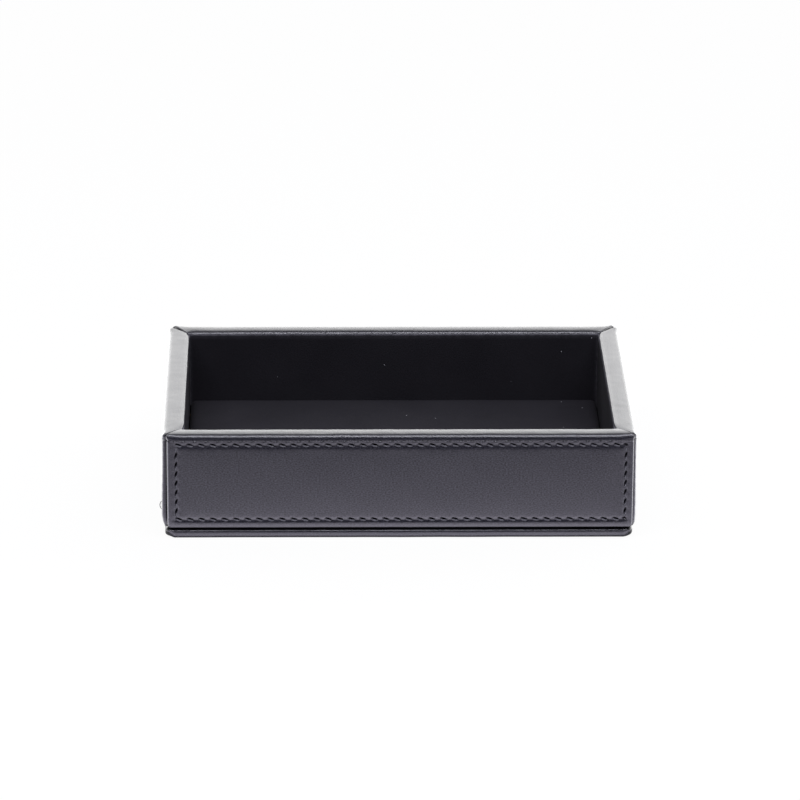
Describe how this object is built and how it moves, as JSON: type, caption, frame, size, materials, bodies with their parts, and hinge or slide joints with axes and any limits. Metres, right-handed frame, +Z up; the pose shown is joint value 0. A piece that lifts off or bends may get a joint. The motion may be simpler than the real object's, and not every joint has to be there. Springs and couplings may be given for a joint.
{
  "type": "valet tray",
  "caption": "Open rectangular valet tray with mitred, stitched leather walls on a thin base plate, and a velvet-lined padded floor.",
  "frame": {"origin": "centre of the footprint, on the surface the tray stands on", "axes": "+X along the long walls, +Y to the back wall, +Z up"},
  "size_m": [0.1652, 0.1152, 0.0392],
  "materials": {
    "leather": "black smooth leather, fine grain, soft sheen",
    "velvet": "black short-pile velvet",
    "felt": "black pressed felt",
    "thread": "black twisted thread",
    "board": "raw fibreboard",
    "foam": "thin white foam sheet"
  },
  "bodies": {
    "root": {"front_board": "board", "front_padding": "foam", "front_cover": "leather", "front_lining": "velvet", "front_stitching": "thread", "right_board": "board", "right_padding": "foam", "right_cover": "leather", "right_lining": "velvet", "right_stitching": "thread", "back_board": "board", "back_padding": "foam", "back_cover": "leather", "back_lining": "velvet", "back_stitching": "thread", "left_board": "board", "left_padding": "foam", "left_cover": "leather", "left_lining": "velvet", "left_stitching": "thread", "base_board": "board", "base_cover": "leather", "base_felt": "felt", "bottom_board": "board", "floor_card": "board", "floor_foam": "foam", "floor_lining": "velvet"}
  },
  "joints": []
}
